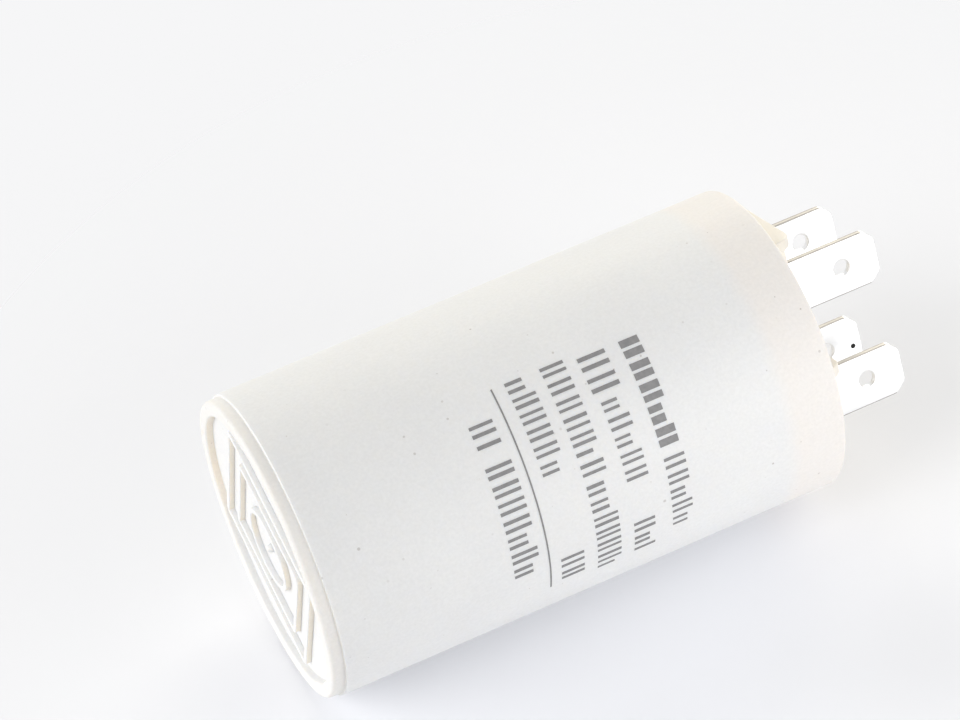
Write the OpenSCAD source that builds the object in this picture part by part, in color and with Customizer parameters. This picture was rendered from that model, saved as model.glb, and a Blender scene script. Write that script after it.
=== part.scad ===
// Motor capacitor: a drafted plastic can closed by a plug lid, two double blade
// terminals riveted through the lid, and a potted roll of metallised film inside.
// Millimetres, +Z up. It stands on the foot rim of its closed end, blades upwards.

/* [Can] */
// Outer diameter of the can, half way up
can_d = 35; // [33:0.5:50]
// Height of the can, from its foot rim to its mouth
can_h = 61.2; // [50:0.1:120]
// Draft of the wall in degrees: the can widens towards its mouth
can_draft = 0.19; // [0:0.01:1]
// Thickness of the wall
can_wall = 1.4; // [1:0.1:2]
// Thickness of the wall beside the lid
mouth_wall = 0.6; // [0.4:0.05:0.9]
// Thickness of the closed end
floor_t = 1.6; // [1:0.1:4]
// Fillet inside the can, round its floor
floor_fillet = 1.5; // [0.5:0.1:2.5]
// Rounding of the mouth's outer edge
lip_round = 0.25; // [0.1:0.05:0.4]

/* [Foot of the can] */
// Height of the foot band below the wall
foot_h = 1.5; // [1:0.1:3]
// How far the foot band steps in from the wall
foot_step = 0.3; // [0.05:0.05:0.4]
// Rounding of the foot's outer edge
foot_round = 0.45; // [0.2:0.05:0.9]
// Width of the flat rim that the can stands on
foot_w = 1; // [0.5:0.1:2]
// Rounding of the rim's inner edge
rim_round = 0.3; // [0.1:0.05:0.4]
// Depth of the end face inside the rim
end_recess = 0.9; // [0.7:0.05:2]

/* [Relief on the end face] */
// Height of the ridges above the end face
ridge_h = 0.65; // [0.1:0.05:0.85]
// Width of the ridges
ridge_w = 0.6; // [0.3:0.1:1]
// Side of the large square, along the middle of its ridge
large_square = 20; // [17:0.2:20.8]
// Side of the small square, along the middle of its ridge
small_square = 14.4; // [10.4:0.2:16]
// Diameter of the ring, along the middle of its ridge
ring_d = 9; // [4:0.2:10]
// Diameter of the pip in the ring
pip_d = 1; // [0.5:0.1:2]
// Turn of the squares about the can's axis, in degrees
relief_turn = 42.6; // [0:0.2:90]

/* [Lid] */
// Depth of the lid's skirt in the can
lid_depth = 6; // [4:0.1:10]
// Thickness of the lid's top
lid_t = 2; // [1.5:0.1:3]
// How far the lid's top lies below the mouth
lid_drop = 0.1; // [0:0.05:0.5]
// Thickness of the lid's skirt
skirt_t = 1.3; // [0.8:0.1:1.6]
// Rounding of the lid's upper edge
lid_edge = 0.3; // [0.1:0.1:1]
// Clearance between lid and can
lid_fit = 0.05; // [0.02:0.01:0.15]

/* [Barrier walls on the lid] */
// Height of the walls above the lid
barrier_h = 2.6; // [1:0.1:8]
// Thickness of the walls
barrier_t = 1.2; // [0.8:0.1:2]
// Rounding of the walls' upper corners
barrier_round = 1.8; // [0.3:0.1:2.5]
// Space between a blade's edge and the outer wall
barrier_gap = 2.9; // [0.8:0.05:3.2]
// Space between a wall's end and the lid's rounded edge
barrier_inset = 0.2; // [0.1:0.1:2]
// Space between the middle wall's end and the lid's rounded edge
middle_inset = 2.5; // [0.5:0.05:5]
// Height of the low ribs above the lid
rib_h = 1.8; // [0.8:0.1:2.5]
// Length of the rib that turns in from one end of each outer wall
return_l = 4.6; // [2:0.1:6]
// Space between that rib and the wall's end
return_inset = 1; // [0.3:0.1:1.4]
// Thickness of the rib beside one blade of each terminal
shoulder_t = 1.3; // [0.8:0.1:1.6]
// Clearance between that rib and the blade
shoulder_gap = 0.55; // [0.3:0.05:0.8]

/* [Terminals] */
// Distance between the two terminals
terminal_pitch = 13.96; // [12:0.02:14.2]
// Distance between the two blades of a terminal
blade_pitch = 9.9; // [9:0.02:11]
// Width of a blade
blade_w = 6.3; // [4.8:0.1:6.5]
// Thickness of the sheet
blade_t = 0.8; // [0.5:0.1:1]
// Height of the blades' tips above the lid
blade_h = 13.1; // [10:0.1:18]
// Chamfer of a blade's corners
blade_chamfer = 1.2; // [0.5:0.1:1.8]
// Bevel across a blade's tip
blade_bevel = 0.2; // [0.05:0.05:0.24]
// Diameter of the latch hole in a blade
latch_hole_d = 1.9; // [1:0.05:2]
// Distance of the latch hole from the tip
latch_hole_z = 4.5; // [4:0.1:6]
// Inner radius of the bends at the terminal's foot
fold_r = 0.5; // [0.3:0.1:1]

/* [Rivets and solder tags] */
// Diameter of a rivet's shank
rivet_d = 2.6; // [2:0.1:3]
// Diameter of a rivet's head
rivet_head_d = 4.2; // [3.6:0.1:5.2]
// Height of a rivet's head
rivet_head_h = 0.9; // [0.6:0.1:1.5]
// Diameter of a rivet's closed end
rivet_tail_d = 3.8; // [3.4:0.1:4.6]
// Thickness of a rivet's closed end
rivet_tail_h = 0.7; // [0.4:0.1:1.2]
// Clearance round a rivet's shank
rivet_fit = 0.05; // [0.02:0.01:0.15]
// Thickness of the solder tags
tag_t = 0.5; // [0.3:0.1:0.8]
// Diameter of a tag's ring
tag_ring_d = 5; // [4.6:0.1:6]
// Width of a tag's tail
tag_w = 1.8; // [1.4:0.1:2.2]

/* [Winding and leads] */
// Space between the wrapped winding and the can's wall, where a lead runs down
lead_channel = 2.6; // [2.2:0.1:4]
// Space between the winding and the can's floor
under_winding = 2.4; // [1.8:0.1:5]
// Depth of resin over the winding
resin_cover = 3; // [2.4:0.1:6]
// Space between the resin and the lid's skirt
resin_drop = 1.5; // [0.3:0.1:4]
// Thickness of the wrap round the winding
wrap_t = 0.35; // [0.2:0.05:0.6]
// Thickness of the sprayed metal on the winding's ends
spray_t = 0.6; // [0.3:0.1:1]
// Outer diameter of the tube that the film is wound on
core_d = 8; // [5:0.5:10]
// Wall thickness of that tube
core_t = 1; // [0.6:0.1:1.6]
// Diameter of the lead wires
wire_d = 0.8; // [0.5:0.1:1]
// Outer diameter of the leads' sleeves
sleeve_d = 1.6; // [1.4:0.1:1.8]
// Length of the strip at a lead's lower end, which lies on the sprayed metal
strip_l = 5.4; // [4:0.1:6]
// Width of that strip
strip_w = 2; // [1.2:0.1:2.2]
// Thickness of that strip
strip_t = 0.6; // [0.3:0.1:1]
// Distance from the short lead to the winding's edge
short_lead_inset = 2; // [1.2:0.1:2.5]
// Bare wire at both ends of a sleeve
sleeve_bare = 0.5; // [0.3:0.1:2]
// Clearance between potted and wound pieces
pot_gap = 0.03; // [0.01:0.01:0.1]

/* [Hidden] */
$fn = 96;
arc_steps = 6;
// Overlap that joins one shape to another, and overshoot of cutting tools
bite = 0.5;

// Foot and wall of the can
function outer_r(z) = can_d / 2 + tan(can_draft) * (z - can_h / 2);
function inner_r(z) = outer_r(z) - can_wall;
function mouth_r(z) = outer_r(z) - mouth_wall;
foot_r = outer_r(foot_h) - foot_step;
rim_out = foot_r - foot_round;
rim_in = rim_out - foot_w;
floor_z = end_recess + floor_t;
seat_z = can_h - lid_depth;

// Lid, and the places of what stands on it
function lid_r(z) = mouth_r(z) - lid_fit;
lid_z = can_h - lid_drop;
lid_under = lid_z - lid_t;
lid_flat_r = lid_r(lid_z) - lid_edge;
skirt_in = lid_r(seat_z) - skirt_t;
terminal_x = terminal_pitch / 2;
blade_y = blade_pitch / 2;
barrier_x = terminal_x + blade_w / 2 + barrier_gap + barrier_t / 2;
barrier_l = 2 * (sqrt(pow(lid_flat_r, 2) - pow(barrier_x + barrier_t / 2, 2)) - barrier_inset);
middle_l = 2 * (lid_flat_r - middle_inset);
shoulder_y = blade_y + blade_t / 2 + shoulder_gap;

// Winding, from the sprayed metal below to the sprayed metal above
resin_top = seat_z - resin_drop;
spray_low = floor_z + under_winding;
spray_high = resin_top - resin_cover;
wrap_r = inner_r(floor_z) - lead_channel;
winding_r = wrap_r - wrap_t - pot_gap;
core_r = core_d / 2;

// Leads: the long one runs down beside the winding, the short one ends on top of it
tag_low = lid_under - tag_t;
tag_end_gap = 0.2;
long_x = min(wrap_r + lead_channel / 2, skirt_in - tag_w / 2 - tag_end_gap);
short_x = winding_r - short_lead_inset;
long_strip_z = spray_low - strip_t;
short_strip_z = spray_high;

// Points along an arc, from one angle to another
function arc(x, z, r, from, to) =
    [for (i = [0 : arc_steps]) let (a = from + (to - from) * i / arc_steps) [x + r * cos(a), z + r * sin(a)]];

// Inside of the can below the lid's seat, from the top down to the axis, drawn in by a gap
function inside(top, gap) =
    let (turn_z = floor_z + floor_fillet)
    concat([[inner_r(top) - gap, top]],
           arc(inner_r(turn_z) - floor_fillet, turn_z, floor_fillet - gap, 0, -90),
           [[0, floor_z + gap]]);

// One square ridge: a frame whose middle line has the given side
module square_ridge(side) {
    difference() {
        square(side + ridge_w, center = true);
        square(side - ridge_w, center = true);
    }
}

// Ridges on the end face: two squares, a ring and a pip
module end_relief() {
    translate([0, 0, end_recess - ridge_h]) linear_extrude(ridge_h + bite) {
        rotate(relief_turn) {
            square_ridge(large_square);
            square_ridge(small_square);
        }
        difference() {
            circle(d = ring_d + ridge_w);
            circle(d = ring_d - ridge_w);
        }
        circle(d = pip_d);
    }
}

module can() {
    color("#ecebe7") {
        rotate_extrude() polygon(concat(
            [[0, end_recess], [rim_in - rim_round, end_recess]],
            arc(rim_in, rim_round, rim_round, 180, 270),
            arc(rim_out, foot_round, foot_round, 270, 360),
            [[foot_r, foot_h], [outer_r(foot_h + foot_step), foot_h + foot_step]],
            arc(outer_r(can_h) - lip_round, can_h - lip_round, lip_round, 0, 90),
            [[mouth_r(can_h), can_h], [mouth_r(seat_z), seat_z]],
            inside(seat_z, 0)
        ));
        end_relief();
    }
}

// Upright wall along Y, centred, with rounded upper corners
module barrier(length, height, thickness) {
    round_r = min(barrier_round, height);
    rotate([90, 0, 90]) linear_extrude(thickness, center = true) {
        translate([-length / 2, -bite]) square([length, height - round_r + bite]);
        translate([round_r - length / 2, 0]) square([length - 2 * round_r, height]);
        for (end = [-1, 1]) translate([end * (length / 2 - round_r), height - round_r]) circle(round_r);
    }
}

// Low ribs at one end of a terminal's tray: the outer wall's return and the blade's shoulder
module tray_ribs() {
    return_x = barrier_x + barrier_t / 2 - return_l;
    return_y = barrier_l / 2 - return_inset - barrier_t;
    translate([return_x, return_y, -bite]) cube([return_l - barrier_t / 2, barrier_t, rib_h + bite]);
    translate([terminal_x - blade_w / 2, shoulder_y, -bite]) cube([blade_w, shoulder_t, rib_h + bite]);
}

module lid() {
    color("#e9dfcb") difference() {
        union() {
            rotate_extrude() polygon(concat(
                [[0, lid_under], [skirt_in, lid_under], [skirt_in, seat_z], [lid_r(seat_z), seat_z]],
                arc(lid_flat_r, lid_z - lid_edge, lid_edge, 0, 90),
                [[0, lid_z]]
            ));
            translate([0, 0, lid_z]) {
                barrier(middle_l, barrier_h, barrier_t);
                for (side = [-1, 1]) translate([side * barrier_x, 0, 0])
                    barrier(barrier_l, barrier_h, barrier_t);
                for (turn = [0, 180]) rotate(turn) tray_ribs();
            }
        }
        for (side = [-1, 1]) translate([side * terminal_x, 0, lid_under - bite])
            cylinder(d = rivet_d + 2 * rivet_fit, h = lid_t + 2 * bite);
    }
}

// Folded sheet with two blades, seen along X: outer line up one side, inner line back
module terminal_fold() {
    out_y = blade_y + blade_t / 2;
    in_y = blade_y - blade_t / 2;
    out_r = fold_r + blade_t;
    tip_low = blade_h - blade_bevel;
    polygon(concat(
        [[-in_y - blade_bevel, blade_h], [-out_y + blade_bevel, blade_h], [-out_y, tip_low]],
        arc(-out_y + out_r, out_r, out_r, 180, 270),
        arc(out_y - out_r, out_r, out_r, 270, 360),
        [[out_y, tip_low], [out_y - blade_bevel, blade_h], [in_y + blade_bevel, blade_h], [in_y, tip_low]],
        arc(in_y - fold_r, blade_t + fold_r, fold_r, 0, -90),
        arc(-in_y + fold_r, blade_t + fold_r, fold_r, 270, 180),
        [[-in_y, tip_low]]
    ));
}

// Outline of a blade, seen along Y, with its two chamfered corners
module blade_outline() {
    half = blade_w / 2;
    polygon([
        [-half, 0], [half, 0], [half, blade_h - blade_chamfer], [half - blade_chamfer, blade_h],
        [blade_chamfer - half, blade_h], [-half, blade_h - blade_chamfer]
    ]);
}

// One stamped terminal: a foot on the lid with a blade at each end
module terminal(side) {
    span = blade_pitch + blade_t + 2 * bite;
    color("#d5d7d8") translate([side * terminal_x, 0, lid_z]) difference() {
        intersection() {
            rotate([90, 0, 90]) linear_extrude(blade_w, center = true) terminal_fold();
            rotate([90, 0, 0]) linear_extrude(span, center = true) blade_outline();
        }
        translate([0, 0, blade_h - latch_hole_z]) rotate([90, 0, 0])
            cylinder(d = latch_hole_d, h = span, center = true);
        translate([0, 0, -bite]) cylinder(d = rivet_d + 2 * rivet_fit, h = blade_t + 2 * bite);
    }
}

// Rivet through terminal, lid and solder tag: domed head above, closed end below
module rivet(side) {
    head_z = lid_z + blade_t;
    head_r = rivet_head_d / 2;
    tail_r = rivet_tail_d / 2;
    dome = rivet_head_h / 2;
    color("#c9cbcc") translate([side * terminal_x, 0, 0]) rotate_extrude() polygon(concat(
        [[0, tag_low - rivet_tail_h], [tail_r, tag_low - rivet_tail_h], [tail_r, tag_low]],
        [[rivet_d / 2, tag_low], [rivet_d / 2, head_z], [head_r, head_z]],
        arc(head_r - dome, head_z + dome, dome, 0, 90),
        [[0, head_z + rivet_head_h]]
    ));
}

// Solder tag under the lid: a ring round the rivet and a tail that reaches the wire
module solder_tag(side, wire_x) {
    reach = wire_x - terminal_x;
    color("#cdbf9a") translate([side * terminal_x, 0, tag_low]) mirror([side < 0 ? 1 : 0, 0, 0])
        linear_extrude(tag_t) difference() {
            union() {
                circle(d = tag_ring_d);
                translate([0, -tag_w / 2]) square([reach, tag_w]);
                translate([reach, 0]) circle(d = tag_w);
            }
            circle(d = rivet_d + 2 * rivet_fit);
            translate([reach, 0]) circle(d = wire_d + 2 * pot_gap);
        }
}

// Wire from a tag's hole straight down to the strip that it is joined to
module lead(side, wire_x, strip_z, grow = 0) {
    mirror([side < 0 ? 1 : 0, 0, 0]) translate([wire_x, 0, strip_z]) {
        cylinder(d = wire_d + 2 * grow, h = lid_under - strip_z);
        linear_extrude(strip_t) {
            circle(d = strip_w + 2 * grow);
            translate([-strip_l - grow, -strip_w / 2 - grow]) square([strip_l + grow, strip_w + 2 * grow]);
        }
    }
}

// Solid of a sleeve round the straight run of a lead
module sleeve_body(side, wire_x, strip_z, grow = 0) {
    low = strip_z + strip_t + sleeve_bare - grow;
    translate([side * wire_x, 0, low]) cylinder(d = sleeve_d + 2 * grow, h = tag_low - sleeve_bare - low);
}

module sleeve(side, wire_x, strip_z) {
    color("#7d8fa6") difference() {
        sleeve_body(side, wire_x, strip_z);
        translate([side * wire_x, 0, floor_z]) cylinder(d = wire_d + 2 * pot_gap, h = lid_z - floor_z);
    }
}

// Ring of the winding's stack, between two radii and two heights
module stack_ring(inner, outer, low, high) {
    translate([0, 0, low]) difference() {
        cylinder(r = outer, h = high - low);
        translate([0, 0, -bite]) cylinder(r = inner, h = high - low + 2 * bite);
    }
}

module winding() {
    color("#b9bcc0") stack_ring(core_r + pot_gap, winding_r, spray_low + spray_t, spray_high - spray_t);
}

module winding_core() {
    color("#d8d2c0") stack_ring(core_r - core_t, core_r, spray_low, spray_high);
}

module winding_wrap() {
    color("#d9c98a") stack_ring(winding_r + pot_gap, wrap_r, spray_low, spray_high);
}

module sprayed_end(low) {
    color("#9a9c9e") stack_ring(core_r + pot_gap, winding_r, low, low + spray_t);
}

// Resin round the winding and in its core, with room for the leads
module potting_resin() {
    color("#b8a06a") difference() {
        union() {
            difference() {
                rotate_extrude() polygon(concat([[0, resin_top]], inside(resin_top, pot_gap)));
                translate([0, 0, spray_low]) cylinder(r = wrap_r + pot_gap, h = spray_high - spray_low);
            }
            translate([0, 0, spray_low - bite])
                cylinder(r = core_r - core_t - pot_gap, h = spray_high - spray_low + 2 * bite);
        }
        lead(1, long_x, long_strip_z, pot_gap);
        lead(-1, short_x, short_strip_z, pot_gap);
        sleeve_body(1, long_x, long_strip_z, pot_gap);
        sleeve_body(-1, short_x, short_strip_z, pot_gap);
    }
}

can();
lid();
terminal(-1);  // terminal_left
terminal(1);  // terminal_right
rivet(-1);  // rivet_left
rivet(1);  // rivet_right
solder_tag(-1, short_x);  // solder_tag_left
solder_tag(1, long_x);  // solder_tag_right
color("#b98a5a") lead(-1, short_x, short_strip_z);  // lead_left
color("#b98a5a") lead(1, long_x, long_strip_z);  // lead_right
sleeve(-1, short_x, short_strip_z);  // sleeve_left
sleeve(1, long_x, long_strip_z);  // sleeve_right
winding();
winding_core();
winding_wrap();
sprayed_end(spray_high - spray_t);  // sprayed_end_top
sprayed_end(spray_low);  // sprayed_end_bottom
potting_resin();
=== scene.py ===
"""Looks of a motor capacitor: white drafted can, cream lid with barrier walls, tinned blades, grey print.

Lengths are millimetres until they go into a mesh. The frame stands the can on its foot rim, blades up.
The photograph shows it lying, so the camera is rolled and a pale floor lies along the can's side.
"""

import math

import bmesh
import bpy
import numpy as np
from mathutils import Matrix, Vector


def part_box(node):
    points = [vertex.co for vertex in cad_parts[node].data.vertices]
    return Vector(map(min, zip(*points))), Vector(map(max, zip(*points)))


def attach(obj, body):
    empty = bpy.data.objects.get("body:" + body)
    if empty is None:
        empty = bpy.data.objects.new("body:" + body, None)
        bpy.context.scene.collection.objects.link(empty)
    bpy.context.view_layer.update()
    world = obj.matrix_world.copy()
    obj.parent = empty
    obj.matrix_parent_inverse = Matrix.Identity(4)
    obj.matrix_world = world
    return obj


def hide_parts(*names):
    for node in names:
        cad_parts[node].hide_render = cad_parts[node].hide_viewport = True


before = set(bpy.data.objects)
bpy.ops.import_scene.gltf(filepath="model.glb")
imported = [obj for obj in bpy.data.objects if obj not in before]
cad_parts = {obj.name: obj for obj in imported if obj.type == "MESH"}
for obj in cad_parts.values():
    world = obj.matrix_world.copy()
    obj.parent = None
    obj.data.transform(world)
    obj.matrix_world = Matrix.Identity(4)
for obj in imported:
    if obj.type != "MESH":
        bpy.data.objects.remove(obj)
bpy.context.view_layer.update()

MM = 0.001
BODY = "root"


def node_box(name):
    """Lowest and highest corner of a frame node, in millimetres."""
    low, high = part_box(name)
    return np.array(low) / MM, np.array(high) / MM


# Sizes taken from the frame
CAN_HIGH = node_box("can")[1]
LID_LOW, LID_HIGH = node_box("lid")
TERMINAL_LOW, TERMINAL_HIGH = node_box("terminal_right")
RIVET_LOW, RIVET_HIGH = node_box("rivet_right")
CAN_H = CAN_HIGH[2]
MOUTH_R = CAN_HIGH[0]
LID_SEAT = LID_LOW[2]
LID_TOP = TERMINAL_LOW[2]
BLADE_TIP = TERMINAL_HIGH[2]
BLADE_W = TERMINAL_HIGH[0] - TERMINAL_LOW[0]
TERMINAL_X = (TERMINAL_HIGH[0] + TERMINAL_LOW[0]) / 2
BLADE_OUT_Y = TERMINAL_HIGH[1]

# Can: the same sizes as its solid
DRAFT = 0.19
CAN_WALL = 1.4
MOUTH_WALL = 0.6
MOUTH_BREAK = 0.05
FLOOR_Z = 2.5
FLOOR_FILLET = 1.5
LIP_ROUND = 0.25
FOOT_H = 1.5
FOOT_STEP = 0.3
STEP_ROUND = 0.12
FOOT_ROUND = 0.45
FOOT_W = 1.0
RIM_ROUND = 0.3
END_RECESS = 0.9
RECESS_FILLET = 0.1

# Flat middle of a face of revolution: its radius, and on the end face its distance from the recess's wall
MIDDLE_R = 1.0
END_MARGIN = 1.5

# Relief on the closed end
RIDGE_H = 0.65
RIDGE_W = 0.6
RIDGE_ROUND = 0.12
RIDGE_DRAFT = 0.04
LARGE_SQUARE = 20.0
SMALL_SQUARE = 14.4
SQUARE_CORNER = 0.5
RING_D = 9.0
PIP_D = 1.0
RELIEF_TURN = 42.6

# Warm white: a steep face of the closed end that turns away from the side that is up where the can lies is
# painted a warmer white as painted shade. Cosine between its normal and that side: white above the first
# value, full painted shade below the second. Then the share of the same warm white on the foot, all round,
# not tied to the light
WHITE_ABOVE = 0.65
FULL_SHADE_BELOW = 0.1
FOOT_WARM_TINT = 0.25
# Rings of the can's profile: the steep part of the recess's fillet, its wall and the start of the rim's
# rounding, then the rest of the rim and the foot up to its step. A ridge's flank has three rings.
RECESS_RINGS = slice(4, 13)
FOOT_RINGS = slice(13, 40)
FLANK_RINGS = 3

# Lid and what stands on it
LID_FIT = 0.05
LID_EDGE = 0.3
LID_T = 2.0
SKIRT_T = 1.3
BARRIER_T = 1.2
BARRIER_H = LID_HIGH[2] - LID_TOP
BARRIER_ROUND = 1.8
BARRIER_GAP = 2.9
BARRIER_INSET = 0.2
MIDDLE_INSET = 2.5
RIB_H = 1.8
RETURN_L = 4.6
RETURN_INSET = 1.0
SHOULDER_T = 1.3
SHOULDER_GAP = 0.55
MOULD_EDGE = 0.15
SINK = 0.3

# Terminals and rivets
SHEET_T = 0.8
SHEET_EDGE = 0.15
FOLD_R = 0.5
BLADE_CHAMFER = 1.2
BLADE_CORNER = 1.0
LATCH_D = 1.9
LATCH_FROM_TIP = 4.5
DIRT_D = 0.6
DIRT_H = 0.06
DIRT_PLACE = (7.63, 73.08)
TAG_T = 0.5
RIVET_D = 2.6
RIVET_END_R = 1.9
RIVET_MIDDLE_R = 0.3
RIVET_HEAD_D = RIVET_HIGH[0] - RIVET_LOW[0]
RIVET_HEAD_H = RIVET_HIGH[2] - LID_TOP - SHEET_T
RIVET_DIMPLE_D = 1.5
RIVET_DIMPLE = 0.25

# Side of the can that is up in the photograph, where it lies
LYING_UP = np.array([-0.9435, -0.3315, 0.0])

# Print on the wall: film of ink, its place round the axis in degrees from +X, and its thin rule
INK_OUT = 0.02
INK_IN = 0.06
PRINT_LEFT = -137.8
PRINT_SLOPE = -0.0042
PRINT_STEP = 1.5
RULE_RIGHT = -55.5
RULE_LOW = 25.62
RULE_HIGH = 25.79
# Bars of the print: seed of the draw, share of tall pairs, height of a short bar as a share of a tall one,
# range of a gap, and how much wider the gap after a pair is
PRINT_SEED = 7
TALL_SHARE = 0.7
SHORT_BAR = 0.72
GAP_RANGE = (0.9, 1.2)
PAIR_GAP = 1.5

# Fineness of the surfaces, and the angles in degrees where a dome ends and past which an edge is sharp
ROUND_STEPS = 288
WALL_STEPS = 40
RIM_STEPS = 3
SMALL_ARC_STEPS = 5
CORNER_STEPS = 8
RING_STEPS = 96
PIP_STEPS = 48
FOLD_STEPS = 10
SHEET_STEPS = 4
RIVET_STEPS = 96
DIRT_STEPS = 32
DOME_STEPS = 6
DOME_END = 80
SHARP_ANGLE = 32.0


# Shapes

def arc(centre, radius, start, end, steps=8):
    """Arc of a circle: centre + radius (cos a, sin a), with a going from start to end in degrees."""
    a = np.radians(np.linspace(start, end, steps + 1))
    return np.column_stack([centre[0] + radius * np.cos(a), centre[1] + radius * np.sin(a)])


def line(start, end, steps):
    """Straight run of points, both ends left out."""
    t = np.linspace(0, 1, steps + 2)[1:-1, None]
    return np.array(start) * (1 - t) + np.array(end) * t


def quads(rows, cols, close_rows=False, close_cols=False):
    """Faces of a grid of points stored row by row; a closed side joins its last line to its first."""
    i = np.arange(rows if close_rows else rows - 1)[:, None]
    j = np.arange(cols if close_cols else cols - 1)[None, :]
    i2, j2 = (i + 1) % rows, (j + 1) % cols
    corners = np.broadcast_arrays(i * cols + j, i * cols + j2, i2 * cols + j2, i2 * cols + j)
    return np.stack(corners, -1).reshape(-1, 4)


def capped(rows, cols):
    """Faces of a grid whose rows are closed, with flat caps over its first and its last row."""
    last = (rows - 1) * cols
    caps = [list(range(cols)), list(range(last, last + cols))]
    return quads(rows, cols, close_cols=True).tolist() + caps


def at_height(ring, height):
    """Plan points (x, y) with one height added to each."""
    return np.column_stack([ring, np.full(len(ring), height)])


class Shape:
    """Points and faces of one or more closed surfaces, with a finish number for each face and for each point
    a
    share of warm white: painted shade on steep faces that turn from the light, and a plain tint on the foot."""

    def __init__(self):
        self.points, self.faces, self.finish, self.warm_tint_and_painted_shade = [], [], [], []
        self.count = 0

    def add(self, points, faces, finish=0, warm_tint_and_painted_shade=0.0):
        """Adds a surface; finish is one number or one for each face, the warm tint and painted shade one or
        one for each point.
        """
        points = np.asarray(points, float).reshape(-1, 3)
        self.points.append(points)
        self.warm_tint_and_painted_shade.append(np.broadcast_to(warm_tint_and_painted_shade, len(points)))
        self.faces += [[int(k) + self.count for k in f] for f in faces]
        self.finish += [finish] * len(faces) if np.isscalar(finish) else list(finish)
        self.count += len(points)
        return self


def revolve(profile, steps=ROUND_STEPS):
    """Surface of revolution of profile points (r, z): (r cos a, r sin a, z), with flat caps on its first and
    last ring."""
    a = np.linspace(0, 2 * np.pi, steps, endpoint=False)
    r, z = profile[:, 0][:, None], profile[:, 1][:, None]
    points = np.stack([r * np.cos(a), r * np.sin(a), np.broadcast_to(z, (len(profile), steps))], -1)
    return points.reshape(-1, 3), capped(len(profile), steps)


def outline(corners, radii, inset=0.0, steps=6):
    """Convex outline with rounded corners. Each corner's arc keeps its centre and loses the inset from its
    radius."""
    p = np.array(corners, float)
    r = np.broadcast_to(np.array(radii, float), (len(p),))
    along = np.roll(p, -1, 0) - p
    normal = np.column_stack([along[:, 1], -along[:, 0]]) / np.linalg.norm(along, axis=1)[:, None]
    before = np.roll(normal, 1, 0)
    centre = p - r[:, None] * (before + normal) / (1 + (before * normal).sum(1))[:, None]
    start = np.arctan2(before[:, 1], before[:, 0])
    turn = (np.arctan2(normal[:, 1], normal[:, 0]) - start) % (2 * np.pi)
    a = start[:, None] + turn[:, None] * np.linspace(0, 1, steps + 1)
    ring = centre[:, None] + (r - inset)[:, None, None] * np.stack([np.cos(a), np.sin(a)], -1)
    return ring.reshape(-1, 2)


def rectangle(x0, y0, x1, y1):
    """Corners of a rectangle, anticlockwise from the lower left."""
    return [(x0, y0), (x1, y0), (x1, y1), (x0, y1)]


def edge_section(thickness, edge, steps=4):
    """Half-round edges of a plate: pairs of inset and height from its lower face to its upper face."""
    low = arc((edge, edge), edge, 270, 180, steps)
    high = arc((edge, thickness - edge), edge, 180, 90, steps)
    return np.vstack([low, high])


def plate(corners, radii, thickness, edge, place):
    """Plate with rounded edges: its outline at each step of the edge section, capped flat.
    place maps points (x, y, height)."""
    section = edge_section(thickness, edge)
    rings = [at_height(outline(corners, radii, inset), height) for inset, height in section]
    return place(np.vstack(rings)), capped(len(rings), len(rings[0]))


def holed_plate(corners, radii, hole, hole_r, thickness, edge, place, spacing=0.2):
    """Plate with a round hole: a closed section runs over the outer edge, one face, the hole and the other
    face. Each hole point lies in the direction of its outline point.
    Returns points, faces and a 1 for each face of a long cut side."""
    base = outline(corners, radii)
    step = np.linalg.norm(np.roll(base, -1, 0) - base, axis=1)
    parts = np.maximum(1, np.ceil(step / spacing)).astype(int)
    index = np.concatenate([k + np.arange(n) / n for k, n in enumerate(parts)])

    def ring(inset):
        o = outline(corners, radii, inset)
        o = np.vstack([o, o[:1]])
        return np.column_stack([np.interp(index, np.arange(len(o)), o[:, k]) for k in (0, 1)])

    away = ring(0) - np.array(hole)
    away /= np.linalg.norm(away, axis=1)[:, None]
    section = edge_section(thickness, edge)
    rings = [at_height(ring(inset), height) for inset, height in section]
    rings += [at_height(hole + (hole_r + inset) * away, height) for inset, height in section[::-1]]
    rows, cols = len(rings), len(index)
    # The long cut sides get the dark edge finish, partly painted shade
    # A point is on a long side where it is as far out as the widest place, within a third of the edge
    across = np.abs(ring(0)[:, 0])
    on_side = across > across.max() - edge / 3
    is_edge = np.zeros((rows, cols), int)
    is_edge[:len(section) - 1] = on_side & np.roll(on_side, -1)
    faces = quads(rows, cols, close_rows=True, close_cols=True)
    return place(np.vstack(rings)), faces.tolist(), is_edge.ravel().tolist()


def sweep(path, normals, section):
    """Profile carried along a path in the YZ plane: section points (x, n) go to path + n normal, shifted by x
    along X."""
    flat = path[:, None] + section[None, :, 1, None] * normals[:, None]
    x = np.broadcast_to(section[:, 0], flat.shape[:2])
    points = np.concatenate([x[..., None], flat], -1)
    return points.reshape(-1, 3), capped(len(path), len(section))


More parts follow.
